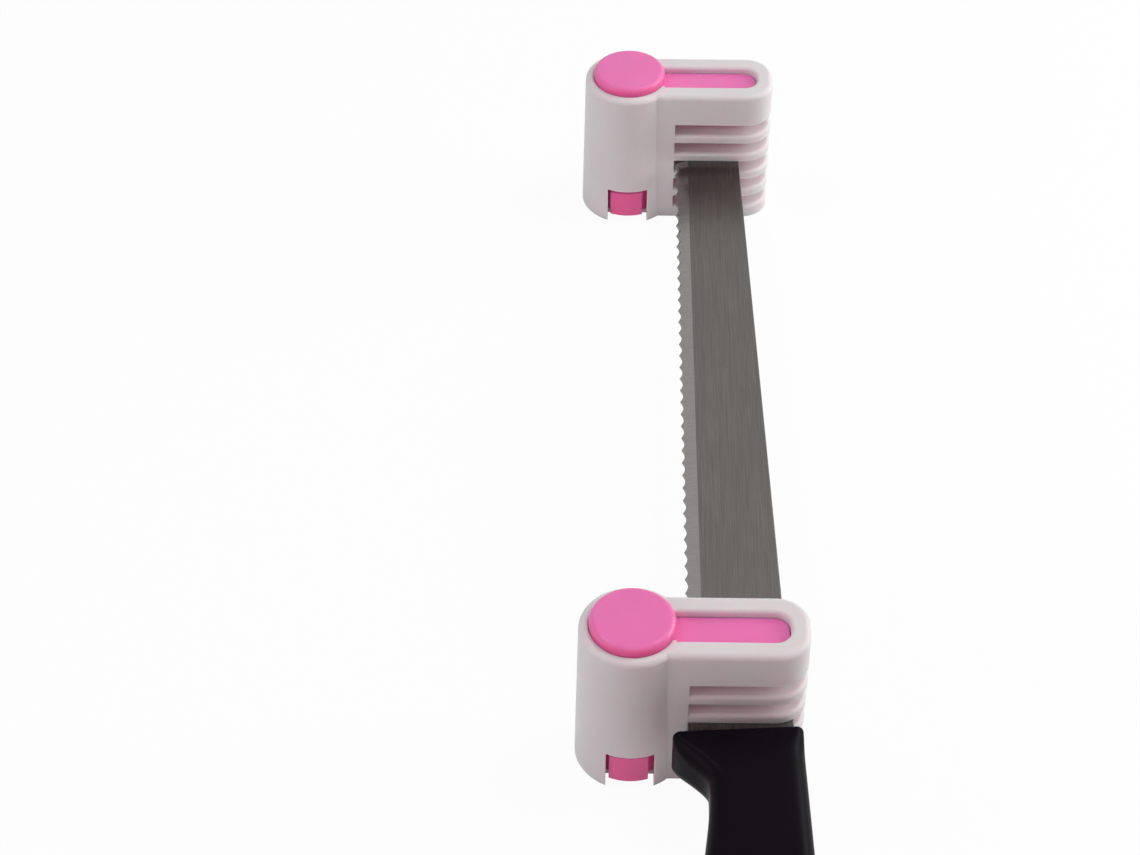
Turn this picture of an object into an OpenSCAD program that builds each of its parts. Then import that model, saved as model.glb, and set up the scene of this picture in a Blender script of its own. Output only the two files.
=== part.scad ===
// Cake layer cutter: a long serrated knife held level in two spring-clamp guides.
// X runs along each guide from its round tower to the open ends of the knife slots,
// Y runs along the blade from handle to tip, and Z is up from the surface it slides on.
// The origin is on the front guide's tower axis, at its base.

/* [Guide housing] */
// Wall of the round tower at its top, outside the clamp's bore
tower_wall = 2.88; // [2.3:0.02:5]
// Growth of the tower's radius from its top down to its base
tower_draft = 0.85; // [0:0.05:1.5]
// Height of the housing above its top slot
cap_h = 13.2; // [11:0.1:22]
// Thickness of the block's end wall beyond the clamp's channel
block_end_wall = 5.97; // [4:0.01:12]
// Thickness of the block's side walls beside the clamp's channel
block_side_wall = 6.54; // [5.5:0.01:9]
// Radius of the block's two upright corners
block_corner_r = 10; // [6:0.5:10.5]
// Rounding along the housing's top edges
top_edge_r = 2; // [0.5:0.1:2.2]
// Thickness of the housing's floor under the spring
floor_t = 2; // [1.2:0.1:2.6]

/* [Knife slots] */
// Number of knife slots in each guide
slot_count = 5; // [3:1:5]
// Height of the lowest slot's floor above the base
slot_foot_z = 4.9; // [4:0.1:10]
// Distance from one slot to the next
slot_pitch = 8.35; // [7.6:0.05:12]
// Clear height of one slot
slot_h = 5; // [4.2:0.1:5.4]
// Distance from the tower's foot to the closed ends of the slots
slot_inset = 0.16; // [0.02:0.02:3]
// Rounding of each slot's lower lip
slot_lip_r = 1.3; // [0.4:0.1:1.6]
// The slot that holds the knife, counted from the top
knife_slot = 3; // [1:1:3]

/* [Clamp] */
// Radius of the push button and of the skirt below it
button_r = 13.27; // [12.6:0.01:13.8]
// Height of the button above the housing with the knife clamped
button_proud = 3.2; // [2.6:0.05:5]
// Rounding of the button's top edge
button_edge_r = 2; // [0.3:0.1:2.6]
// Thickness of the button's top
button_t = 3; // [2:0.1:5]
// Thickness of the skirt's wall
skirt_wall = 2.1; // [1.4:0.1:3]
// Width of the clamp's arm
arm_w = 11.66; // [9:0.02:13]
// Distance from the tower's axis to the end of the arm
arm_reach = 47.48; // [45:0.02:49]
// Radius of the arm's two upright corners
arm_corner_r = 4.8; // [2:0.1:5.4]
// Depth of the arm's top below the housing's top
arm_sunk = 2.72; // [1:0.02:4]
// Gap all round between the clamp and the housing
clamp_gap = 0.2; // [0.1:0.05:0.4]
// Travel of the button when it is pressed
press_travel = 2; // [1:0.1:2.2]
// Room left under the skirt at full press
press_room = 0.5; // [0.2:0.1:1.5]
// Set-back of the comb's slots behind the closed ends of the housing's slots
comb_setback = 0.6; // [0.2:0.1:1.2]

/* [Snap tab] */
// Width of the notch in the tower's foot
notch_w = 14.92; // [13.6:0.02:17]
// Height of the notch
notch_h = 14.6; // [12:0.1:18]
// Gap between the tab and the notch's left side
tab_gap_left = 0.96; // [0.3:0.02:3]
// Gap between the tab and the notch's right side
tab_gap_right = 1.76; // [0.3:0.02:3]
// Depth of the tab's outer face inside the tower's foot
tab_inset = 1.3; // [0.8:0.05:2.4]
// Height of the tab's lower edge above the base at full press
tab_foot_gap = 0.4; // [0.2:0.1:2]

/* [Spring] */
// Wire diameter
wire_d = 0.9; // [0.5:0.1:1.2]
// Mean radius of the coils
coil_r = 5; // [4.6:0.1:6]
// Number of turns
coil_turns = 8; // [5:1:9]
// Height at which the spring meets the clamp's post
spring_top_z = 26; // [20:0.5:32]
// Gap between the coils and the pegs inside them
peg_gap = 0.75; // [0.3:0.05:2]
// Length of each peg
peg_l = 4; // [2:0.5:6]
// Gap at each end of the spring
seat_gap = 0.02; // [0.01:0.01:0.1]

/* [Knife blade] */
// Thickness of the blade
blade_t = 1.8; // [1.2:0.1:2.4]
// Width of the blade at the handle
blade_w = 32.4; // [29:0.1:34]
// Width of the blade near its tip
blade_tip_w = 23; // [20:0.1:28]
// Length of the blade outside the handle
blade_len = 331; // [325:1:360]
// Radius of the tip's corner on the spine's side
tip_spine_r = 16; // [6:0.5:17]
// Radius of the tip's corner on the cutting side
tip_edge_r = 4; // [1:0.5:6]
// Distance from one scallop of the cutting edge to the next
scallop_pitch = 6; // [4:0.1:8]
// Depth of each scallop
scallop_depth = 1; // [0.4:0.1:1.4]
// Plain length of cutting edge next to the handle
edge_plain = 8; // [2:0.5:14]
// Width of the ground bevel behind the cutting edge
bevel_w = 5; // [2.5:0.1:8]
// Thickness left at the cutting edge
edge_t = 0.3; // [0.15:0.05:0.6]
// Gap between the cutting edge and the closed ends of the slots
edge_gap = 0.15; // [0.05:0.05:0.5]

/* [Tang] */
// Depth to which the full blade is sunk in the handle
blade_sunk = 5; // [4:0.5:10]
// Width of the tang
tang_w = 15; // [8:0.5:20]
// Length of solid handle behind the tang
tang_cover = 38; // [20:1:80]
// Gap all round between the tang and the moulded handle
tang_gap = 0.02; // [0.01:0.01:0.1]

/* [Handle] */
// Gap between the front guide's tower and the handle's front face
handle_room = 2.5; // [1.8:0.1:12]
// Length of the handle
handle_len = 130; // [122:1:145]
// Thickness of the handle
handle_t = 17.6; // [14:0.1:22]
// Height of the handle's back above the blade's spine
handle_back = 1.9; // [1:0.1:5]
// Reach of the finger guard beyond the blade's cutting edge
guard_drop = 5.2; // [3:0.1:9]
// Length of the finger guard before it curves in to the neck
guard_len = 1.5; // [0.5:0.5:6]
// Length of the curve from the guard to the neck
guard_curve = 17; // [12:0.5:22]
// Width of the handle at the neck behind the guard
neck_w = 29.3; // [28:0.1:33]
// Width of the grip's belly
belly_w = 33.5; // [31:0.1:38]
// Distance from the front face to the widest part of the belly
belly_at = 61; // [50:1:70]
// Width of the waist ahead of the butt
waist_w = 29; // [27:0.1:33]
// Distance from the front face to the waist
waist_at = 98; // [85:1:108]
// Width of the butt
butt_w = 33; // [30:0.1:38]
// Slant of the handle's ends across its width
end_slant = 2.4; // [0:0.1:6]
// Rounding of the handle's front edge
front_round = 1.1; // [0.8:0.1:2]
// Rounding of the butt
butt_round = 7; // [4:0.5:8]
// Rounding of the handle's long edges at the guard
guard_edge_r = 2.4; // [1:0.1:4]
// Rounding of the handle's long edges along the grip
grip_edge_r = 5.7; // [2:0.1:7]
// Length over which the guard's edges soften into the grip's
edge_fade = 10; // [6:1:60]

/* [Layout] */
// Distance from the rear guide's tower axis to the blade's tip
tip_reach = 32.3; // [28:0.1:60]

/* [Hidden] */
$fn = 96;

// Overshoot that keeps a cut clear of the face that it opens
cut = 1;
// Overlap that joins two solids or two cuts
lap = 0.01;

// Least flat width left between two rounded corners
least_flat = 1;

// Guide sizes, worked outwards from the clamp
bore_r = button_r + clamp_gap;
tower_r = bore_r + tower_wall;
base_r = tower_r + tower_draft;
channel_half = arm_w / 2 + clamp_gap;
channel_end = arm_reach + clamp_gap;
arm_fillet = min(arm_corner_r, arm_w / 2 - least_flat);
channel_fillet = arm_fillet + clamp_gap;
block_half = channel_half + block_side_wall;
block_reach = channel_end + block_end_wall;
block_fillet = min(block_corner_r, block_half - least_flat);
slot_start_x = base_r + slot_inset;
slot_top_z = slot_foot_z + slot_h + (slot_count - 1) * slot_pitch;
housing_h = slot_top_z + cap_h;
function slot_ceiling(i) = slot_top_z - i * slot_pitch;

// Clamp sizes with the knife held
button_top_z = housing_h + button_proud;
arm_top_z = housing_h - arm_sunk;
skirt_bottom_z = floor_t + press_travel + press_room;
comb_start_x = slot_start_x - comb_setback;
notch_inner_y = sqrt(pow(bore_r, 2) - pow(notch_w / 2, 2)) - cut / 2;
tab_left = notch_w / 2 - tab_gap_left;
tab_right = notch_w / 2 - tab_gap_right;
tab_r = base_r - tab_inset;
tab_bottom_z = press_travel + tab_foot_gap;
foot_half = notch_w / 2 - clamp_gap;
tab_top_z = notch_h - blade_t;
peg_r = coil_r - wire_d / 2 - peg_gap;
post_rim = 0.4;
post_r = coil_r + wire_d / 2 + post_rim;

// Spring sizes: closed end turns and open turns between them
spring_low = floor_t + wire_d / 2 + seat_gap;
spring_high = spring_top_z - wire_d / 2 - seat_gap;
open_turns = coil_turns - 2;
open_pitch = (spring_high - spring_low - 2 * wire_d) / open_turns;
wire_sides = 8;
rings_per_turn = 16;

// Blade lines: the cutting edge runs along Y and the spine leans towards it
blade_top_z = slot_ceiling(knife_slot - 1);
blade_mid_z = blade_top_z - blade_t / 2;
edge_x = slot_start_x + edge_gap;
heel_y = -base_r - handle_room;
tip_y = heel_y + blade_len;
guide_gap = tip_y - tip_reach;
spine_x = edge_x + blade_w;
spine_angle = atan((blade_w - blade_tip_w) / blade_len);
tip_arc_r = min(tip_spine_r, blade_tip_w - tip_edge_r);
scallops_from = heel_y + edge_plain;
scallops_to = tip_y - tip_edge_r - scallop_pitch / 2;
scallop_count = floor((scallops_to - scallops_from) / scallop_pitch);
points_per_scallop = 6;
tip_points = 16;

// Handle loft: stations along the handle, and points round each corner of a section
corner_points = 8;
section_points = 4 * corner_points;
least_edge_r = 0.6;
end_steps = 5;
body_steps = 54;
tang_middle = handle_back - neck_w / 2;
tang_len = handle_len - tang_cover;
guard_w = handle_back + blade_w + guard_drop;

function clamp01(v) = max(0, min(1, v));
function ease(v) = let (c = clamp01(v)) c * c * (3 - 2 * c);
function blend(a, b, v) = a + (b - a) * ease(v);

// Width of the handle from its back to its finger side, a distance t behind the front face
function handle_w(t) =
    let (neck_at = guard_len + guard_curve)
    t < neck_at ? blend(guard_w, neck_w, (t - guard_len) / guard_curve)
    : t < belly_at ? blend(neck_w, belly_w, (t - neck_at) / (belly_at - neck_at))
    : t < waist_at ? blend(belly_w, waist_w, (t - belly_at) / (waist_at - belly_at))
    : blend(waist_w, butt_w, (t - waist_at) / (handle_len - waist_at));

// How far the section is drawn in near each rounded end
function end_inset(t) =
    t < front_round ? front_round - sqrt(pow(front_round, 2) - pow(front_round - t, 2))
    : t > handle_len - butt_round
        ? butt_round - sqrt(pow(butt_round, 2) - pow(t - handle_len + butt_round, 2))
    : 0;

handle_stations = concat(
    [for (i = [0:end_steps - 1]) front_round * (1 - cos(90 * i / end_steps))],
    [for (i = [0:body_steps]) front_round + (handle_len - front_round - butt_round) * i / body_steps],
    [for (i = [1:end_steps]) handle_len - butt_round * (1 - sin(90 * i / end_steps))]
);

// One section of the handle: x runs from the spine's line, negative towards the fingers
function handle_ring(t) =
    let (
        w = handle_w(t),
        inset = end_inset(t),
        r = max(least_edge_r, blend(guard_edge_r, grip_edge_r, t / edge_fade) - inset),
        corner_x = w / 2 - inset - r,
        corner_z = handle_t / 2 - inset - r
    )
    [for (q = [0:3], k = [0:corner_points - 1])
        let (
            a = 90 * (q + k / (corner_points - 1)),
            side = q == 0 || q == 3 ? 1 : -1,
            face = q < 2 ? 1 : -1
        )
        let (x = handle_back - w / 2 + side * corner_x + r * cos(a))
        [x, x * tan(end_slant) - t, face * corner_z + r * sin(a)]
    ];

// Faces that close a tube of rings, wound the same way whichever ring list is used
function tube_faces(rings, sides) = concat(
    [[for (k = [0:sides - 1]) k]],
    [for (i = [0:rings - 2], k = [0:sides - 1])
        [i * sides + k, (i + 1) * sides + k, i * sides + (k + 1) % sides]],
    [for (i = [0:rings - 2], k = [0:sides - 1])
        [i * sides + (k + 1) % sides, (i + 1) * sides + k, (i + 1) * sides + (k + 1) % sides]],
    [[for (k = [sides - 1:-1:0]) (rings - 1) * sides + k]]
);

// Height of the spring's wire after a number of turns
function coil_z(turn) =
    turn < 1 ? spring_low + wire_d * turn
    : turn < 1 + open_turns ? spring_low + wire_d + open_pitch * (turn - 1)
    : spring_high - wire_d * (coil_turns - turn);

// One ring of the spring's wire
function coil_ring(turn) =
    let (a = 360 * turn)
    [for (k = [0:wire_sides - 1])
        let (
            b = 360 * k / wire_sides,
            r = coil_r + wire_d / 2 * cos(b)
        )
        [r * cos(a), r * sin(a), coil_z(turn) + wire_d / 2 * sin(b)]
    ];

// Points of the scalloped cutting edge, from the heel towards the tip
scallop_points = [
    for (i = [0:scallop_count - 1], k = [0:points_per_scallop - 1])
    let (s = k / points_per_scallop)
    [
        edge_x + scallop_depth * sin(180 * s),
        scallops_from + (i + s) * scallop_pitch,
    ]
];

// Points round the tip, from the cutting edge to the spine
tip_outline = concat(
    [for (k = [0:tip_points])
        let (a = 180 - 90 * k / tip_points)
        [edge_x + tip_edge_r * (1 + cos(a)), tip_y - tip_edge_r * (1 - sin(a))]
    ],
    [for (k = [0:tip_points])
        let (a = 90 - (90 - spine_angle) * k / tip_points)
        [
            edge_x + blade_tip_w - tip_arc_r * (1 - cos(a)),
            tip_y - tip_arc_r * (1 - sin(a)),
        ]
    ]
);

module blade_outline() {
    polygon(concat(
        [[edge_x, heel_y]],
        scallop_points,
        tip_outline,
        [[spine_x, heel_y]]
    ));
}

// Everything behind the blade's heel follows the spine's line
module spine_frame() {
    translate([spine_x, heel_y, blade_mid_z])
        rotate([0, 0, spine_angle])
            children();
}

// The part of the blade inside the handle, grown by a gap for the pocket that holds it
module tang(gap) {
    low_y = heel_y - blade_sunk - gap;
    high_y = heel_y + cut;
    lean = tan(spine_angle);
    translate([0, 0, blade_mid_z - blade_t / 2 - gap])
        linear_extrude(blade_t + 2 * gap)
            polygon([
                [edge_x - gap, low_y],
                [spine_x + gap - (low_y - heel_y) * lean, low_y],
                [spine_x + gap - (high_y - heel_y) * lean, high_y],
                [edge_x - gap, high_y],
            ]);
    spine_frame()
        translate([tang_middle - tang_w / 2 - gap, -tang_len - gap, -blade_t / 2 - gap])
            cube([tang_w + 2 * gap, tang_len + gap, blade_t + 2 * gap]);
}

// Wedge that grinds one face of the blade down to the cutting edge
module bevel_cut() {
    fall = (blade_t - edge_t) / 2 / bevel_w;
    translate([0, scallops_from, 0])
        rotate([90, 0, 180])
            linear_extrude(blade_len)
                polygon([
                    [-edge_x - bevel_w, blade_t / 2],
                    [-edge_x + cut, edge_t / 2 - fall * cut],
                    [-edge_x + cut, blade_t],
                    [-edge_x - bevel_w, blade_t],
                ]);
}

module blade() {
    color([0.72, 0.72, 0.74]) {
        translate([0, 0, blade_mid_z])
            difference() {
                translate([0, 0, -blade_t / 2])
                    linear_extrude(blade_t) blade_outline();
                bevel_cut();
                mirror([0, 0, 1]) bevel_cut();
            }
        tang(0);
    }
}

module handle() {
    color([0.08, 0.07, 0.08])
        difference() {
            spine_frame()
                polyhedron(
                    points = [for (t = handle_stations) each handle_ring(t)],
                    faces = tube_faces(len(handle_stations), section_points),
                    convexity = 6
                );
            tang(tang_gap);
        }
}

// Upright section from an inner line out to a face, with its top outer edge rounded
module edge_profile(reach, h, r) {
    square([reach, h - r]);
    square([reach - r, h]);
    translate([reach - r, h - r]) circle(r);
}

// Upright section across the block, with both top edges rounded
module block_profile(h, r) {
    translate([-block_half, 0]) square([2 * block_half, h - r]);
    translate([r - block_half, 0]) square([2 * (block_half - r), h]);
    for (side = [-1, 1])
        translate([side * (block_half - r), h - r]) circle(r);
}

// Part of the block between two heights, from the closed ends of the slots outwards
module block_plate(low, high, r) {
    h = high - low;
    side = block_half - block_fillet;
    corner_x = block_reach - block_fillet;
    translate([slot_start_x, 0, low])
        rotate([90, 0, 90])
            linear_extrude(corner_x - slot_start_x) block_profile(h, r);
    for (m = [0, 1])
        mirror([0, m, 0])
            translate([corner_x, side, low])
                rotate_extrude(angle = 90) edge_profile(block_fillet, h, r);
    translate([corner_x, side, low])
        rotate([90, 0, 0])
            linear_extrude(2 * side) edge_profile(block_fillet, h, r);
}

// The block: solid up to the slots' closed ends, then plates with the slots left open between them
module slotted_block() {
    rotate([90, 0, 90])
        linear_extrude(slot_start_x) block_profile(housing_h, top_edge_r);
    block_plate(slot_ceiling(0), housing_h, top_edge_r);
    for (i = [1:slot_count - 1])
        block_plate(slot_ceiling(i), slot_ceiling(i - 1) - slot_h, slot_lip_r);
    block_plate(0, slot_ceiling(slot_count - 1) - slot_h, slot_lip_r);
}

// Tapered tower whose rim rounding runs smoothly out of the tapered wall
module tower() {
    lean = atan(tower_draft / (housing_h - top_edge_r));
    rim_x = tower_r - top_edge_r * cos(lean);
    shoulder_z = housing_h - top_edge_r * (1 - sin(lean));
    cylinder(h = shoulder_z, r1 = tower_r + shoulder_z * tan(lean), r2 = tower_r);
    rotate_extrude()
        intersection() {
            translate([rim_x, housing_h - top_edge_r]) circle(top_edge_r);
            translate([0, shoulder_z]) square([base_r, top_edge_r]);
        }
    translate([0, 0, shoulder_z]) cylinder(h = housing_h - shoulder_z, r = rim_x);
}

// Arm-shaped prism: the clamp's arm, and the channel that it slides in
module arm_prism(half_w, reach, corner_r, low, high) {
    translate([0, 0, low])
        linear_extrude(high - low) {
            translate([0, -half_w]) square([reach - corner_r, 2 * half_w]);
            translate([0, -half_w + corner_r]) square([reach, 2 * (half_w - corner_r)]);
            for (m = [-1, 1])
                translate([reach - corner_r, m * (half_w - corner_r)]) circle(corner_r);
        }
}

module housing() {
    color([0.9, 0.88, 0.89]) {
        difference() {
            union() {
                tower();
                slotted_block();
            }
            translate([0, 0, floor_t]) cylinder(h = housing_h, r = bore_r);
            arm_prism(channel_half, channel_end, channel_fillet, floor_t, housing_h + cut);
            translate([-notch_w / 2, -base_r - cut, -cut])
                cube([notch_w, base_r + cut - notch_inner_y, notch_h + cut]);
        }
        translate([0, 0, floor_t - lap]) cylinder(h = peg_l + lap, r = peg_r);
    }
}

// Part of the clamp that stands in the notch, out to a radius and between two sides
module notch_piece(r, left, right, top_z) {
    intersection() {
        translate([0, 0, tab_bottom_z])
            difference() {
                cylinder(h = top_z - tab_bottom_z, r = r);
                translate([0, 0, -cut])
                    cylinder(h = housing_h, r = button_r - skirt_wall);
            }
        translate([-left, -base_r, 0])
            cube([left + right, base_r - notch_inner_y - clamp_gap, housing_h]);
    }
}

// Snap tab that stops the clamp from leaving the housing, on a foot of the skirt that closes the notch
module snap_tab() {
    notch_piece(tab_r, tab_left, tab_right, tab_top_z);
    notch_piece(button_r, foot_half, foot_half, skirt_bottom_z + lap);
}

module button_shell() {
    shoulder_z = button_top_z - button_edge_r;
    difference() {
        union() {
            translate([0, 0, skirt_bottom_z])
                cylinder(h = shoulder_z - skirt_bottom_z, r = button_r);
            translate([0, 0, shoulder_z])
                rotate_extrude()
                    intersection() {
                        translate([button_r - button_edge_r, 0]) circle(button_edge_r);
                        square([button_r, button_edge_r]);
                    }
            translate([0, 0, shoulder_z]) cylinder(h = button_edge_r, r = button_r - button_edge_r);
        }
        cylinder(h = button_top_z - button_t, r = button_r - skirt_wall);
    }
}

module clamp() {
    color([0.9, 0.45, 0.66]) {
        button_shell();
        snap_tab();
        translate([0, 0, spring_top_z])
            cylinder(h = button_top_z - button_t - spring_top_z, r = post_r);
        translate([0, 0, spring_top_z - peg_l]) cylinder(h = peg_l, r = peg_r);
        difference() {
            arm_prism(arm_w / 2, arm_reach, arm_fillet, skirt_bottom_z, arm_top_z);
            cylinder(h = housing_h, r = button_r - skirt_wall);
            for (i = [0:slot_count - 1])
                translate([comb_start_x, -arm_w, slot_ceiling(i) - blade_t])
                    cube([arm_reach, 2 * arm_w, slot_h]);
        }
    }
}

module coil_spring() {
    ring_count = coil_turns * rings_per_turn + 1;
    color([0.75, 0.75, 0.76])
        polyhedron(
            points = [for (i = [0:ring_count - 1]) each coil_ring(i / rings_per_turn)],
            faces = tube_faces(ring_count, wire_sides),
            convexity = 20
        );
}

module front_housing() {
    housing();
}

module front_clamp() {
    clamp();
}

module front_spring() {
    coil_spring();
}

module rear_housing() {
    translate([0, guide_gap, 0]) housing();
}

module rear_clamp() {
    translate([0, guide_gap, 0]) clamp();
}

module rear_spring() {
    translate([0, guide_gap, 0]) coil_spring();
}

blade();
handle();
front_housing();
front_clamp();
front_spring();
rear_housing();
rear_clamp();
rear_spring();
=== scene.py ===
import math

import bmesh
import bpy
from mathutils import Matrix, Vector


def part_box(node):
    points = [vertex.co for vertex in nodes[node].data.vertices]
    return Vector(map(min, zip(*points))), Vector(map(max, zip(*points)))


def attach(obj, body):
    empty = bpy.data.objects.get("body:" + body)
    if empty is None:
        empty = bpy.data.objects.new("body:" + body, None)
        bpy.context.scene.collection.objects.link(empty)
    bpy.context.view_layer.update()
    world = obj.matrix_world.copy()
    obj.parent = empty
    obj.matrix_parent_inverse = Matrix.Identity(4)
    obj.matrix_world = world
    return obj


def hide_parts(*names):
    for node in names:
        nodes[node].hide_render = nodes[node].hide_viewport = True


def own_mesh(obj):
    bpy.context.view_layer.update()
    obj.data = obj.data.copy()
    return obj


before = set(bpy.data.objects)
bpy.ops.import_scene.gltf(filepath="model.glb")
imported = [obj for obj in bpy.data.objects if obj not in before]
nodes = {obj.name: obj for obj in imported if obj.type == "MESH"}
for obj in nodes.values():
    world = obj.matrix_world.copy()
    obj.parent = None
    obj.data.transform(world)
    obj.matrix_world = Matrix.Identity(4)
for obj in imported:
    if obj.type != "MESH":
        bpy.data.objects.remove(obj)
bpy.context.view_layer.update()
scene = bpy.context.scene

# One millimetre, in metres
MM = 0.001


def box_mm(node):
    """The lowest and highest corners of a CAD node in millimetres, to a thousandth."""
    return [[round(c / MM, 3) for c in corner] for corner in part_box(node)]


# Sizes of the guides, in millimetres
housing_low, housing_high = box_mm("front_housing")
rear_housing_low = box_mm("rear_housing")[0]
HOUSING_H = housing_high[2]
GUIDE_GAP = rear_housing_low[1] - housing_low[1]
GUIDES = (("front", 0.0), ("rear", GUIDE_GAP))

# Sizes of the knife that its blade and handle share, in millimetres
blade_low, blade_high = box_mm("blade")
EDGE_X = blade_low[0]
TIP_Y = blade_high[1]
BLADE_T = blade_high[2] - blade_low[2]
BLADE_Z = (blade_low[2] + blade_high[2]) / 2
HEEL_Y = -19.7
BLADE_W = 32.4
BLADE_TIP_W = 23.0
SPINE_X = EDGE_X + BLADE_W
SPINE_LEAN = math.atan((BLADE_W - BLADE_TIP_W) / (TIP_Y - HEEL_Y))
HANDLE_BACK = 1.9
NECK_W = 29.3


def clamp01(v):
    return max(0.0, min(1.0, v))


def ease(v):
    c = clamp01(v)
    return c * c * (3 - 2 * c)


def blend(a, b, v):
    return a + (b - a) * ease(v)


def steps(low, high, count):
    """Evenly spaced numbers from low towards high, which is left out."""
    return [low + (high - low) * i / count for i in range(count)]


def edge_angle(edge):
    """Angle between an edge's two faces in degrees, negative where they form an inner corner."""
    if len(edge.link_faces) != 2:
        return 0
    return math.degrees(edge.calc_face_angle_signed(0))


def mark_sharp(bm, degrees):
    """Marks the edges above an angle as sharp and smooths the others."""
    for edge in bm.edges:
        edge.smooth = abs(edge_angle(edge)) < degrees


def weigh_normals(obj, weight):
    """Lets the broad faces decide the shading next to the small ones."""
    modifier = obj.modifiers.new("Normals", "WEIGHTED_NORMAL")
    modifier.keep_sharp = True
    modifier.weight = weight


def loft(name, rings, material, sharp_degrees):
    """A closed tube through rings in millimetres, each with the same number of points."""
    count = len(rings[0])
    faces = []
    for i in range(len(rings) - 1):
        near = i * count
        far = near + count
        for k in range(count):
            following = (k + 1) % count
            faces.append((near + k, far + k, far + following, near + following))
    last = (len(rings) - 1) * count
    faces.append(tuple(range(count)))
    faces.append(tuple(range(last, last + count)))

    mesh = bpy.data.meshes.new(name)
    mesh.from_pydata([[c * MM for c in point] for ring in rings for point in ring], [], faces)
    bm = bmesh.new()
    bm.from_mesh(mesh)
    bmesh.ops.recalc_face_normals(bm, faces=bm.faces)
    for face in bm.faces:
        face.smooth = True
    mark_sharp(bm, sharp_degrees)
    bm.to_mesh(mesh)
    bm.free()
    mesh.materials.append(material)
    obj = bpy.data.objects.new(name, mesh)
    scene.collection.objects.link(obj)
    return obj


# Scales of the materials' noises, per millimetre
DRIFT_SCALE = 0.035
WAVE_SCALE = 0.12
GLOSS_SCALE = 0.22
CLOUD_SCALE = 0.03
# Values between which a noise mostly stays
NOISE_LOW = 0.3
NOISE_HIGH = 0.7
# Upward part of the normal, below which a steep face gets the full painted side shade and above which a
# level face gets none
SIDE_SHADE_FULL_BELOW = 0.25
SIDE_SHADE_NONE_ABOVE = 0.9
# Part of the low colour that clouds the steel at most
CLOUD_SHARE = 0.25
# How far a roughness goes below and above its middle value
PLASTIC_BELOW = 0.015
PLASTIC_ABOVE = 0.02
STEEL_BELOW = 0.05
STEEL_ABOVE = 0.07


class Nodes:
    """Short names for building the node tree of a material or the world."""

    def __init__(self, owner, output="OutputMaterial"):
        owner.use_nodes = True
        self.owner = owner
        self.tree = owner.node_tree
        self.tree.nodes.clear()
        self.out = self.add(output)

    def add(self, kind, inputs=None, **props):
        node = self.tree.nodes.new("ShaderNode" + kind)
        for key, value in props.items():
            setattr(node, key, value)
        for key, value in (inputs or {}).items():
            socket = node.inputs[key]
            if isinstance(value, bpy.types.NodeSocket):
                self.tree.links.new(value, socket)
            else:
                socket.default_value = value
        return node

    def position(self, scale=(1, 1, 1)):
        """Object coordinates in millimetres, stretched by scale."""
        coordinates = self.add("TexCoord").outputs["Object"]
        mapping = self.add("Mapping", {"Vector": coordinates, "Scale": [s / MM for s in scale]})
        return mapping.outputs["Vector"]

    def noise(self, vector, scale, detail, roughness=0.5):
        inputs = {"Vector": vector, "Scale": scale, "Detail": detail, "Roughness": roughness}
        return self.add("TexNoise", inputs).outputs["Fac"]

    def ramp(self, noise, low, high):
        """A colour between low and high, by a noise."""
        node = self.add("ValToRGB", {"Fac": noise})
        ends = ((NOISE_LOW, low), (NOISE_HIGH, high))
        for element, (place, colour) in zip(node.color_ramp.elements, ends):
            element.position = place
            element.color = (*colour, 1)
        return node.outputs["Color"]

    def spread(self, value, low, high, start=NOISE_LOW, end=NOISE_HIGH):
        """Maps the values from start to end onto low to high."""
        inputs = {"Value": value, "From Min": start, "From Max": end, "To Min": low, "To Max": high}
        return self.add("MapRange", inputs).outputs["Result"]

    def mix(self, share, colour, other, blend_type="MIX"):
        """The colour, turned into the other one by share."""
        inputs = {"Factor": share, "A": colour, "B": (*other, 1)}
        return self.add("Mix", inputs, data_type="RGBA", blend_type=blend_type).outputs["Result"]

    def paint_side_shade(self, colour, tint):
        """Paints side shade: multiplies the colour by a tint on steep faces, and leaves level ones as they
        are.
        """
        normal = self.add("TexCoord").outputs["Normal"]
        upward = self.add("SeparateXYZ", {"Vector": normal}).outputs["Z"]
        shade_share = self.spread(upward, 1.0, 0.0, SIDE_SHADE_FULL_BELOW, SIDE_SHADE_NONE_ABOVE)
        return self.mix(shade_share, colour, tint, "MULTIPLY")

    def bump(self, height, strength, distance_mm, normal=None):
        inputs = {"Height": height, "Strength": strength, "Distance": distance_mm * MM}
        if normal is not None:
            inputs["Normal"] = normal
        return self.add("Bump", inputs).outputs["Normal"]

    def larger(self, a, b):
        return self.add("Math", {0: a, 1: b}, operation="MAXIMUM").outputs[0]

    def seen(self):
        """1 for the rays that the eye follows, straight, mirrored or let through, and 0 for the light's."""
        path = self.add("LightPath").outputs
        eye = self.larger(path["Is Camera Ray"], path["Is Glossy Ray"])
        return self.larger(eye, path["Is Transmission Ray"])

    def finish(self, shader):
        self.tree.links.new(shader, self.out.inputs["Surface"])
        return self.owner


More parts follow.
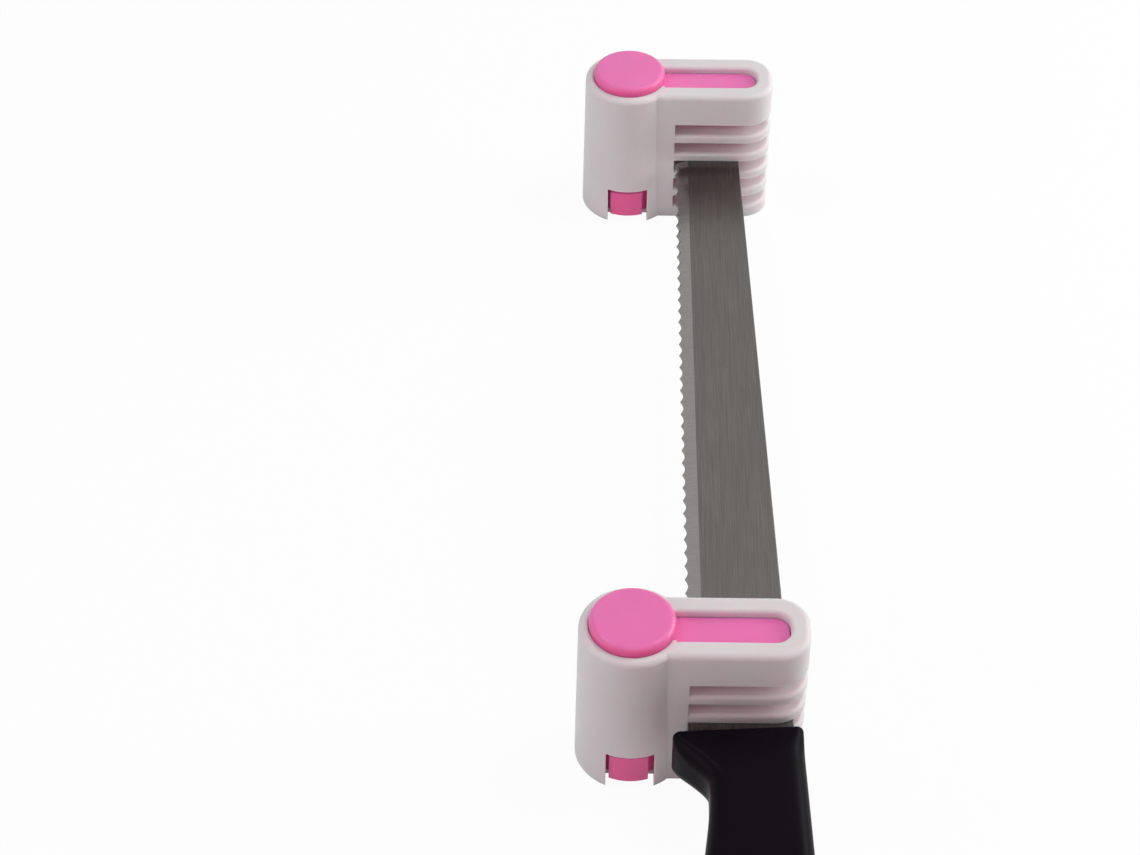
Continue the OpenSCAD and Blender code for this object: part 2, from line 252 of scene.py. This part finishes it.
def plastic(
    name, low, high, rough, gloss_level,
    grain_mm=0.35, grain_depth=0.012, glow=0.0, reach=(1, 1, 1), reach_mm=1.0, side_shade=None,
):
    """Moulded plastic: slight colour drift, a fine mould texture, uneven gloss and light that seeps in,
    with painted shade on steep faces where a side tint is given.
    """
    n = Nodes(bpy.data.materials.new(name))
    position = n.position()
    colour = n.ramp(n.noise(position, DRIFT_SCALE, detail=3), low, high)
    # Painted side shade: steep faces take a darker, redder tint than level ones
    if side_shade:
        colour = n.paint_side_shade(colour, side_shade)
    gloss = n.noise(position, GLOSS_SCALE, detail=4, roughness=0.6)
    waves = n.noise(position, WAVE_SCALE, detail=2)
    grain = n.noise(position, 1 / grain_mm, detail=2)
    wavy = n.bump(waves, strength=0.5, distance_mm=0.05)
    inputs = {
        "Base Color": colour,
        "Roughness": n.spread(gloss, rough - PLASTIC_BELOW, rough + PLASTIC_ABOVE),
        "Normal": n.bump(grain, strength=0.6, distance_mm=grain_depth, normal=wavy),
        "Specular IOR Level": gloss_level,
        "Subsurface Weight": glow,
        "Subsurface Radius": reach,
        "Subsurface Scale": reach_mm * MM,
    }
    return n.finish(n.add("BsdfPrincipled", inputs).outputs["BSDF"])


def brushed_steel(name, low, high, rough, grain):
    """Ground steel with its grain along one axis."""
    n = Nodes(bpy.data.materials.new(name))
    lines = n.noise(n.position(grain), 1.0, detail=4, roughness=0.65)
    cloud = n.noise(n.position(), CLOUD_SCALE, detail=3)
    inputs = {
        "Base Color": n.mix(n.spread(cloud, 0.0, CLOUD_SHARE), n.ramp(lines, low, high), low),
        "Metallic": 1.0,
        "Roughness": n.spread(lines, rough - STEEL_BELOW, rough + STEEL_ABOVE),
        "Normal": n.bump(lines, strength=0.35, distance_mm=0.01),
    }
    return n.finish(n.add("BsdfPrincipled", inputs).outputs["BSDF"])


WHITE = plastic(
    "housing_white", (0.745, 0.695, 0.71), (0.775, 0.725, 0.74), 0.42, 0.25,
    glow=0.8, reach=(1, 0.55, 0.6), reach_mm=2.5,
)
# The pink's steep faces get painted shade: a tint that takes out green and blue and adds a little red, for
# shade and bounced red light
PINK = plastic(
    "clamp_pink", (0.86, 0.192, 0.487), (0.91, 0.207, 0.517), 0.24, 0.3, grain_depth=0.006,
    glow=0.8, reach=(1, 0.2, 0.3), reach_mm=2.0, side_shade=(1.05, 0.7, 0.77),
)
BLACK = plastic(
    "handle_black", (0.0036, 0.0018, 0.004), (0.0052, 0.003, 0.0056), 0.38, 0.035,
    grain_mm=0.5, grain_depth=0.02,
)
STEEL = brushed_steel("blade_steel", (0.112, 0.102, 0.096), (0.178, 0.165, 0.155), 0.3, (6, 0.05, 6))
BEVEL = brushed_steel("blade_ground", (0.21, 0.2, 0.195), (0.3, 0.288, 0.28), 0.22, (0.25, 9, 0.25))
WIRE = brushed_steel("spring_steel", (0.42, 0.42, 0.43), (0.6, 0.6, 0.61), 0.25, (2, 2, 8))


# Places along the guide where the channel opens from the bore and where its wide rim starts, in millimetres
CHANNEL_FROM = 11.6
RIM_FROM = 13.2
# Nearness in millimetres at which points are one point, heights are level, and points lie on the cut
WELD = 0.002
LEVEL = 0.01
ON_CUT = 0.0001
# Roundings of the rims and of the other edges, in millimetres
CHANNEL_RIM_R = 1.3
BORE_RIM_R = 0.1
HOUSING_EDGE_R = 0.3
CLAMP_EDGE_R = 0.25
# Angles in degrees: within one face, at an edge to round, at a rim, and at an edge that stays sharp
FLAT_ANGLE = 0.3
EDGE_ANGLE = 32
RIM_ANGLE = 60
SHARP_ANGLE = 40
GUIDE_NORMAL_WEIGHT = 90


def soften(bm, chosen, width_mm, segments, limited=True):
    """Rounds the chosen edges, no wider than their short neighbours allow where it is limited."""
    bmesh.ops.bevel(
        bm, geom=[e for e in bm.edges if chosen(e)], offset=width_mm * MM, offset_type="OFFSET",
        segments=segments, profile=0.5, affect="EDGES", clamp_overlap=limited,
        miter_outer="SHARP", loop_slide=True,
    )


def rounded_mesh(source, material, rounds, cut=None):
    """The CAD node's own surface with its edges rounded as a mould leaves them."""
    mesh = nodes[source].data.copy()
    bm = bmesh.new()
    bm.from_mesh(mesh)
    bmesh.ops.remove_doubles(bm, verts=bm.verts, dist=WELD * MM)
    bmesh.ops.dissolve_limit(
        bm, angle_limit=math.radians(FLAT_ANGLE), verts=bm.verts, edges=bm.edges, delimit=set()
    )
    if cut:
        cut(bm)
    for rounding in rounds:
        soften(bm, *rounding)
    for face in bm.faces:
        face.smooth = True
    mark_sharp(bm, SHARP_ANGLE)
    bm.to_mesh(mesh)
    bm.free()
    mesh.materials.clear()
    mesh.materials.append(material)
    if mesh.has_custom_normals:
        mesh.normals_split_custom_set([(0, 0, 0)] * len(mesh.loops))
    return mesh


def lowest_x(edge):
    return min(v.co.x for v in edge.verts)


def sharp(edge):
    return edge_angle(edge) > EDGE_ANGLE


def top_edge(edge):
    """An edge where the housing's top face drops into the bore or the channel."""
    level = all(abs(v.co.z - HOUSING_H * MM) < LEVEL * MM for v in edge.verts)
    return level and edge_angle(edge) > RIM_ANGLE


def channel_rim(edge):
    return top_edge(edge) and lowest_x(edge) > (RIM_FROM - LEVEL) * MM


def bore_rim(edge):
    return top_edge(edge) and lowest_x(edge) <= CHANNEL_FROM * MM


def part_channel(bm):
    """Parts the top face and the channel's walls, so that the rim's rounding ends beside the button."""
    rim = [e for e in bm.edges if top_edge(e) and max(v.co.x for v in e.verts) > RIM_FROM * MM]
    faces = {f for e in rim for f in e.link_faces}
    edges = {e for f in faces for e in f.edges}
    verts = {v for f in faces for v in f.verts}
    bmesh.ops.bisect_plane(
        bm, geom=list(verts) + list(edges) + list(faces), dist=ON_CUT * MM,
        plane_co=(RIM_FROM * MM, 0, 0), plane_no=(1, 0, 0),
    )


def moulding(name, mesh, shift_mm, body, replaced):
    """A moulded piece of one guide, made from the front guide's mesh."""
    own = mesh.copy()
    own.name = name
    own.transform(Matrix.Translation((0, shift_mm * MM, 0)))
    obj = bpy.data.objects.new(name, own)
    scene.collection.objects.link(obj)
    weigh_normals(obj, GUIDE_NORMAL_WEIGHT)
    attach(obj, body)
    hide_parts(replaced)


def build_guides():
    """Both guides. A rounding is its edges, radius, segments, and whether short neighbours limit it."""
    housing_rounds = [
        (channel_rim, CHANNEL_RIM_R, 6, False),
        (bore_rim, BORE_RIM_R, 1),
        (sharp, HOUSING_EDGE_R, 3),
    ]
    housing_mesh = rounded_mesh("front_housing", WHITE, housing_rounds, part_channel)
    clamp_mesh = rounded_mesh("front_clamp", PINK, [(sharp, CLAMP_EDGE_R, 2)])
    for guide, shift in GUIDES:
        housing = guide + "_housing"
        clamp = guide + "_clamp"
        moulding(housing + "_moulded", housing_mesh, shift, guide + "_guide", housing)
        moulding(clamp + "_moulded", clamp_mesh, shift, clamp, clamp)


# Grinding, tip and scallops of the blade, in millimetres
BEVEL_W = 5.0
EDGE_T = 0.3
EDGE_PLAIN = 8.0
TIP_EDGE_R = 4.0
TIP_SPINE_R = 16.0
SCALLOP_PITCH = 6.0
SCALLOP_DEPTH = 1.0
SCALLOPS_FROM = HEEL_Y + EDGE_PLAIN
SCALLOP_COUNT = int((TIP_Y - TIP_EDGE_R - SCALLOP_PITCH / 2 - SCALLOPS_FROM) / SCALLOP_PITCH)
# Length over which the grinding sets in, and how far ahead of the first scallop it starts
GRIND_RUN = 3.5
GRIND_LEAD = 0.5
# Where the close sections ahead of the first scallop start, and where the ground steel shows
CLOSE_FROM = SCALLOPS_FROM - 1
GROUND_FROM = SCALLOPS_FROM - 0.6
# Hollow facet of each scallop: half its thickness at the edge, and its rise across the blade
FACET_EDGE = 0.06
FACET_RISE = 0.45
# Rounding of the spine's corners, and how far in the middle of a corner's arc lies, as a part of it
SPINE_R = 0.35
ARC_INSET = 0.29
# Least room between the lines of a section: facet to grind, grind to facet, and grind to spine
FACET_ROOM = 0.05
GRIND_ROOM = 0.02
SPINE_ROOM = 0.2
# Blade inside the handle, then the tang behind it
BLADE_SUNK = 5.0
TANG_LEN = 92.0
TANG_W = 15.0
TANG_MIDDLE = HANDLE_BACK - NECK_W / 2
# Strip of the tang that takes the points which are the grinding's on the blade
TANG_STRIP = 1.0
# Sections along the tang, the plain edge, the start of the grinding, each scallop and the tip
TANG_STEPS = 12
PLAIN_STEPS = 8
START_STEPS = 4
SCALLOP_STEPS = 12
TIP_STEPS = 36
# Points of a section from the edge to the inner end of the grinding
GROUND_POINTS = 5
BLADE_SHARP_ANGLE = 14


def edge_line(y):
    """Where the cutting edge is across the blade at y."""
    if y > TIP_Y - TIP_EDGE_R:
        rise = clamp01((y - TIP_Y + TIP_EDGE_R) / TIP_EDGE_R)
        return EDGE_X + TIP_EDGE_R * (1 - math.sqrt(1 - rise * rise))
    turn = (y - SCALLOPS_FROM) / SCALLOP_PITCH
    if 0 <= turn <= SCALLOP_COUNT:
        return EDGE_X + SCALLOP_DEPTH * abs(math.sin(math.pi * turn))
    return EDGE_X


def straight_spine(y):
    """Where the spine would be at y without the rounded tip."""
    return SPINE_X - (y - HEEL_Y) * math.tan(SPINE_LEAN)


def spine_line(y):
    """Where the spine is across the blade at y."""
    if y <= TIP_Y - TIP_SPINE_R:
        return straight_spine(y)
    rise = clamp01((y - TIP_Y + TIP_SPINE_R) / TIP_SPINE_R)
    fall = TIP_SPINE_R * (1 - math.sqrt(1 - rise * rise))
    return min(straight_spine(y), EDGE_X + BLADE_TIP_W - fall)


def section(y, edge, meet, inner, spine, top_height, under_height):
    """Points round a section at y, always the same number: upper face, spine, then lower face."""
    half = BLADE_T / 2
    crown = spine - SPINE_R
    inset = SPINE_R * ARC_INSET
    xs = [edge, (edge + meet) / 2, meet, (meet + inner) / 2, inner]
    xs += [inner + (crown - inner) * t for t in (0.25, 0.5, 0.75)]
    top = [(x, top_height(x)) for x in xs]
    back = [
        (crown, half), (spine - inset, half - inset), (spine, half - SPINE_R),
        (spine, SPINE_R - half), (spine - inset, inset - half), (crown, -half),
    ]
    bottom = [(x, -under_height(x)) for x in reversed(xs)]
    return [(x, y, z + BLADE_Z) for x, z in top + back + bottom]


def tang_section(y):
    """A section of the tang, which is a plain bar."""

    def height(x):
        return BLADE_T / 2

    edge = straight_spine(y) + TANG_MIDDLE - TANG_W / 2
    return section(y, edge, edge + TANG_STRIP / 2, edge + TANG_STRIP, edge + TANG_W, height, height)


def blade_section(y):
    """A section of the blade, ground on both faces, with the scallops' hollow facet on the upper one."""
    edge = edge_line(y)
    spine = spine_line(y)
    half = BLADE_T / 2
    fall = (half - EDGE_T / 2) / BEVEL_W
    grind = ease((y - SCALLOPS_FROM + GRIND_LEAD) / GRIND_RUN)
    hollow = grind * clamp01((TIP_Y - y) / TIP_EDGE_R)

    def under_height(x):
        return half + (min(half, EDGE_T / 2 + fall * (x - EDGE_X)) - half) * grind

    def top_height(x):
        flat = under_height(x)
        facet = FACET_EDGE + FACET_RISE * (x - edge)
        return min(flat, flat + (facet - flat) * hollow)

    meet = edge + (EDGE_T / 2 - FACET_EDGE + fall * (edge - EDGE_X)) / (FACET_RISE - fall)
    inner = min(max(EDGE_X + BEVEL_W, meet + FACET_ROOM), spine - SPINE_R - SPINE_ROOM)
    return section(y, edge, min(meet, inner - GRIND_ROOM), inner, spine, top_height, under_height)


def build_blade():
    """The blade and its tang in one piece, from the tang's end to the tip."""
    sunk_y = HEEL_Y - BLADE_SUNK
    scallops_to = SCALLOPS_FROM + SCALLOP_COUNT * SCALLOP_PITCH
    tang_ys = steps(HEEL_Y - TANG_LEN, sunk_y, TANG_STEPS) + [sunk_y]
    blade_ys = steps(sunk_y, CLOSE_FROM, PLAIN_STEPS) + steps(CLOSE_FROM, SCALLOPS_FROM, START_STEPS)
    blade_ys += steps(SCALLOPS_FROM, scallops_to, SCALLOP_COUNT * SCALLOP_STEPS)
    blade_ys = [y for y in blade_ys if y < TIP_Y - TIP_SPINE_R]
    turns = [math.pi / 2 * k / TIP_STEPS for k in range(TIP_STEPS + 1)]
    blade_ys += [TIP_Y - TIP_SPINE_R * (1 - math.sin(turn)) for turn in turns]
    rings = [tang_section(y) for y in tang_ys] + [blade_section(y) for y in blade_ys]
    obj = loft("blade_ground", rings, STEEL, BLADE_SHARP_ANGLE)

    obj.data.materials.append(BEVEL)
    ys = tang_ys + blade_ys
    count = len(rings[0])
    ground = {*range(GROUND_POINTS - 1), *range(count - GROUND_POINTS, count)}
    for face in obj.data.polygons[: (len(rings) - 1) * count]:
        ring, k = divmod(face.index, count)
        if k in ground and ys[ring] > GROUND_FROM:
            face.material_index = 1
    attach(obj, "knife")
    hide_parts("blade")


# Handle along its length, in millimetres
HANDLE_LEN = 130.0
HANDLE_T = 17.6
GUARD_LEN = 1.5
GUARD_CURVE = 17.0
GUARD_W = 39.5
BELLY_AT = 61.0
BELLY_W = 33.5
WAIST_AT = 98.0
WAIST_W = 29.0
BUTT_W = 33.0
WIDTHS = (
    (GUARD_LEN, GUARD_W),
    (GUARD_LEN + GUARD_CURVE, NECK_W),
    (BELLY_AT, BELLY_W),
    (WAIST_AT, WAIST_W),
    (HANDLE_LEN, BUTT_W),
)
# Roundings of the handle's front, butt and long edges, which widen from the guard to the grip
FRONT_ROUND = 1.1
BUTT_ROUND = 7.0
GUARD_EDGE_R = 2.4
GRIP_EDGE_R = 5.7
LEAST_EDGE_R = 0.6
EDGE_FADE = 10.0
# Slant of the handle's front, in degrees
END_SLANT = 2.4
# Sections of the handle's front, body and butt, and points of a section's corners and broad faces
FRONT_STEPS = 8
BODY_STEPS = 120
BUTT_STEPS = 12
CORNER_POINTS = 12
FACE_POINTS = 8
HANDLE_SHARP_ANGLE = 50
HANDLE_NORMAL_WEIGHT = 50


def handle_width(t):
    for (start, width), (end, next_width) in zip(WIDTHS, WIDTHS[1:]):
        if t < end:
            return blend(width, next_width, (t - start) / (end - start))
    return BUTT_W


def end_inset(t):
    """How far the rounded front or butt draws the section in."""
    if t < FRONT_ROUND:
        return FRONT_ROUND - math.sqrt(FRONT_ROUND**2 - (FRONT_ROUND - t) ** 2)
    if t > HANDLE_LEN - BUTT_ROUND:
        return BUTT_ROUND - math.sqrt(max(0.0, BUTT_ROUND**2 - (t - HANDLE_LEN + BUTT_ROUND) ** 2))
    return 0.0


def handle_ring(t):
    """One section of the handle in the spine's frame, a rounded oblong."""
    width = handle_width(t)
    inset = end_inset(t)
    radius = max(LEAST_EDGE_R, blend(GUARD_EDGE_R, GRIP_EDGE_R, t / EDGE_FADE) - inset)
    corner_x = width / 2 - inset - radius
    corner_z = HANDLE_T / 2 - inset - radius
    outline = []
    for quarter, (side, face) in enumerate(((1, 1), (-1, 1), (-1, -1), (1, -1))):
        for k in range(CORNER_POINTS):
            turn = math.radians(90 * (quarter + k / (CORNER_POINTS - 1)))
            across = side * corner_x + radius * math.cos(turn)
            outline.append((across, face * corner_z + radius * math.sin(turn)))
        # A broad face follows the first and the third corner
        if side == face:
            for k in range(1, FACE_POINTS):
                across = side * corner_x * (1 - 2 * k / FACE_POINTS)
                outline.append((across, face * (corner_z + radius)))
    ring = []
    for across, z in outline:
        x = across + HANDLE_BACK - width / 2
        ring.append((x, x * math.tan(math.radians(END_SLANT)) - t, z))
    return ring


def build_handle():
    """The moulded handle, turned with the spine that it holds."""
    body_end = HANDLE_LEN - BUTT_ROUND
    places = [FRONT_ROUND * (1 - math.cos(math.pi / 2 * k / FRONT_STEPS)) for k in range(FRONT_STEPS)]
    places += steps(FRONT_ROUND, body_end, BODY_STEPS) + [body_end]
    turns = [math.pi / 2 * k / BUTT_STEPS for k in range(1, BUTT_STEPS + 1)]
    places += [HANDLE_LEN - BUTT_ROUND * (1 - math.sin(turn)) for turn in turns]
    lean = Matrix.Rotation(SPINE_LEAN, 3, "Z")
    origin = Vector((SPINE_X, HEEL_Y, BLADE_Z))
    rings = [[lean @ Vector(point) + origin for point in handle_ring(t)] for t in places]
    obj = loft("handle_moulded", rings, BLACK, HANDLE_SHARP_ANGLE)
    weigh_normals(obj, HANDLE_NORMAL_WEIGHT)
    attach(obj, "knife")
    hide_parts("handle")


# Springs: wire in millimetres and turns, of which the first and the last are closed
WIRE_D = 0.9
COIL_TURNS = 8
# Sections of each turn and points round the wire
RINGS_PER_TURN = 40
WIRE_SIDES = 12
# No edge of a spring stays sharp
SPRING_SHARP_ANGLE = 180


def coil_spring(guide, shift_y):
    """A coil spring with closed ends, held in its guide."""
    spring_low, spring_high = box_mm("front_spring")
    wire_r = WIRE_D / 2
    radius = spring_high[0] - wire_r
    low = spring_low[2] + wire_r
    high = spring_high[2] - wire_r
    pitch = (high - low - 2 * WIRE_D) / (COIL_TURNS - 2)

    def centre_z(turn):
        if turn < 1:
            return low + WIRE_D * turn
        if turn < COIL_TURNS - 1:
            return low + WIRE_D + pitch * (turn - 1)
        return high - WIRE_D * (COIL_TURNS - turn)

    rings = []
    for i in range(COIL_TURNS * RINGS_PER_TURN + 1):
        turn = i / RINGS_PER_TURN
        along = 2 * math.pi * turn
        ring = []
        for k in range(WIRE_SIDES):
            round_wire = 2 * math.pi * k / WIRE_SIDES
            r = radius + wire_r * math.cos(round_wire)
            z = centre_z(turn) + wire_r * math.sin(round_wire)
            ring.append((r * math.cos(along), r * math.sin(along) + shift_y, z))
        rings.append(ring)
    obj = loft(guide + "_spring_coil", rings, WIRE, SPRING_SHARP_ANGLE)
    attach(obj, guide + "_guide")
    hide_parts(guide + "_spring")
    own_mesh(obj)


# Camera, fitted to the photo: lens and sensor in millimetres, angles in degrees, place in metres
LENS = 86.07
SENSOR = 36
CAMERA_PITCH = 43.17
CAMERA_YAW = -0.55
CAMERA_ROLL = 0.25
CAMERA_PLACE = (-0.01369, -0.55637, 0.65931)
NEAREST = 0.05
FARTHEST = 20

# Floor: half its side in metres, its grey, and how much of it is plain white to the eye
FLOOR_HALF = 2.5
PAPER_GREY = 0.93
FLOOR_WHITE = 0.94

# World: colour and strength of the light that it sheds
WORLD_LIGHT = (1, 0.99, 0.99, 1)
WORLD_STRENGTH = 0.165

# Lamps: name, place and size in metres, power in watts and colour, and the point that they face
LAMPS = (
    ("left_high", (-0.6, 0.26, 1.3), (0.26, 0.26), 3.15, (0.915, 0.985, 1)),
    ("front", (0.1, -1.0, 1.1), (1.2, 0.8), 4.45, (1, 0.69, 0.74)),
    ("left", (-1.2, -0.4, 0.5), (0.8, 0.6), 4.3, (0.933, 0.979, 1)),
    ("right", (1.15, 0.5, 0.6), (0.9, 0.6), 10.8, (0.92, 1, 0.965)),
    ("right_high", (0.6, 0.26, 1.3), (0.3, 0.3), 4.35, (0.925, 1, 0.977)),
)
LIT_POINT = Vector((0.02, 0.1, 0.03))


def add_camera():
    """The camera that sees the object as the photo does."""
    data = bpy.data.cameras.new("camera")
    data.lens = LENS
    data.sensor_width = SENSOR
    data.clip_start = NEAREST
    data.clip_end = FARTHEST
    camera = bpy.data.objects.new("camera", data)
    scene.collection.objects.link(camera)
    pitch, yaw, roll = (math.radians(a) for a in (CAMERA_PITCH, CAMERA_YAW, CAMERA_ROLL))
    ahead = math.cos(pitch)
    forward = Vector((math.sin(yaw) * ahead, math.cos(yaw) * ahead, -math.sin(pitch)))
    right = Vector((math.cos(yaw), -math.sin(yaw), 0))
    up = right.cross(forward)
    rolled_right = right * math.cos(roll) + up * math.sin(roll)
    rolled_up = up * math.cos(roll) - right * math.sin(roll)
    matrix = Matrix((rolled_right, rolled_up, -forward)).transposed().to_4x4()
    matrix.translation = Vector(CAMERA_PLACE)
    camera.matrix_world = matrix
    scene.camera = camera
    scene.view_settings.view_transform = "Standard"


def floor():
    """A pale floor that stays near white to the eye and keeps the object's shadow."""
    n = Nodes(bpy.data.materials.new("floor"))
    white = n.add("Math", {0: n.seen(), 1: FLOOR_WHITE}, operation="MULTIPLY").outputs[0]
    paper = n.add("BsdfDiffuse", {"Color": (PAPER_GREY, PAPER_GREY, PAPER_GREY, 1)}).outputs["BSDF"]
    glow = n.add("Emission", {"Color": (1, 1, 1, 1), "Strength": 1.0}).outputs["Emission"]
    material = n.finish(n.add("MixShader", {0: white, 1: paper, 2: glow}).outputs["Shader"])
    corners = [(x * FLOOR_HALF, y * FLOOR_HALF, 0) for x, y in ((-1, -1), (1, -1), (1, 1), (-1, 1))]
    mesh = bpy.data.meshes.new("floor")
    mesh.from_pydata(corners, [], [(0, 1, 2, 3)])
    mesh.materials.append(material)
    obj = bpy.data.objects.new("floor", mesh)
    scene.collection.objects.link(obj)


def surroundings():
    """White to the eye, soft grey light on the object."""
    scene.world = bpy.data.worlds.new("studio")
    n = Nodes(scene.world, "OutputWorld")
    light = n.add("Background", {"Color": WORLD_LIGHT, "Strength": WORLD_STRENGTH}).outputs[0]
    white = n.add("Background", {"Color": (1, 1, 1, 1)}).outputs[0]
    n.finish(n.add("MixShader", {0: n.seen(), 1: light, 2: white}).outputs["Shader"])


def softbox(name, place, size, power, colour):
    """A rectangular lamp aimed at the middle of the object."""
    data = bpy.data.lights.new(name, "AREA")
    data.shape = "RECTANGLE"
    data.size, data.size_y = size
    data.energy = power
    data.color = colour
    obj = bpy.data.objects.new(name, data)
    scene.collection.objects.link(obj)
    obj.location = place
    obj.rotation_euler = (LIT_POINT - Vector(place)).to_track_quat("-Z", "Y").to_euler()


build_guides()
build_blade()
build_handle()
for guide, shift in GUIDES:
    coil_spring(guide, shift)
add_camera()
floor()
surroundings()
for lamp in LAMPS:
    softbox(*lamp)
